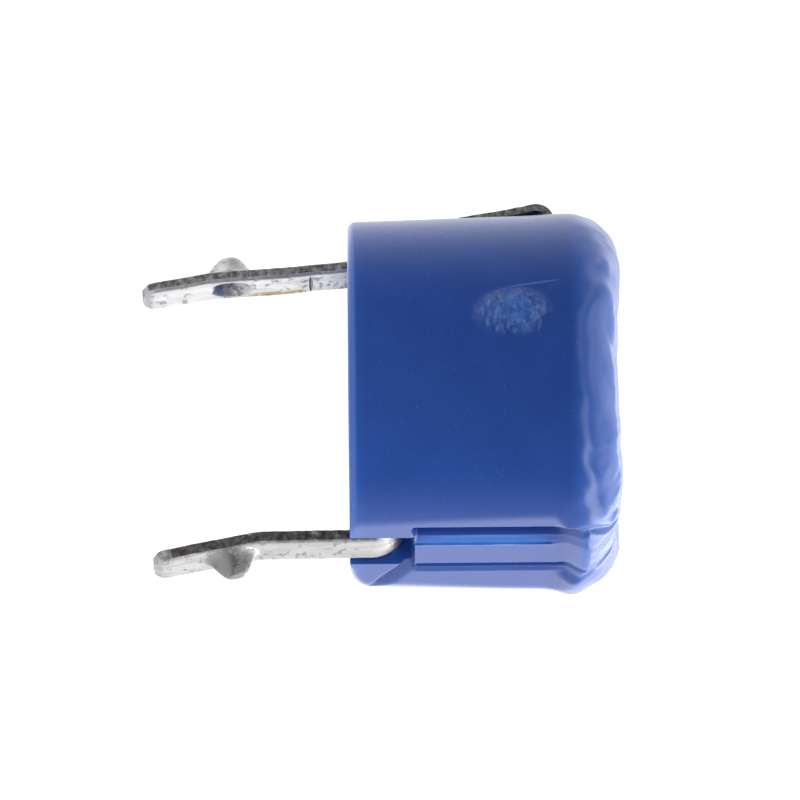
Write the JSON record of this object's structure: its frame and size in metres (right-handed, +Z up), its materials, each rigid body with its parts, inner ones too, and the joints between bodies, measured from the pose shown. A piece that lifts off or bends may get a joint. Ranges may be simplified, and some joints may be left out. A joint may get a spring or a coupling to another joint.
{
  "type": "ceramic trimmer capacitor",
  "caption": "Small round variable capacitor for a circuit board, with a ceramic rotor turned by a screwdriver and flat solder pins on opposite sides.",
  "frame": {"origin": "centre of the case's seating face", "axes": "+Z up the rotor's axis, away from the board; +X towards the stator's pin"},
  "size_m": [0.0063, 0.006, 0.0076],
  "materials": {
    "case_plastic": "moulded, semi-gloss",
    "tinned_metal": "hot-tinned, slightly rough",
    "ceramic": "lapped, matte",
    "silver": "fired silver, satin",
    "solder": "solder, bright",
    "driver_metal": "turned, satin",
    "spring_metal": "rolled"
  },
  "bodies": {
    "housing": {"case": "case_plastic", "stator_terminal": "tinned_metal", "rotor_terminal": "tinned_metal", "spring_washer": "spring_metal"},
    "rotor": {"ceramic_rotor": "ceramic", "silver_electrode": "silver", "solder_ring": "solder", "rotor_driver": "driver_metal"}
  },
  "joints": [
    {"name": "rotor_turn", "type": "hinge", "parent": "housing", "child": "rotor", "pos_m": [0, 0, 0], "axis": [0, 0, 1], "continuous": true}
  ]
}
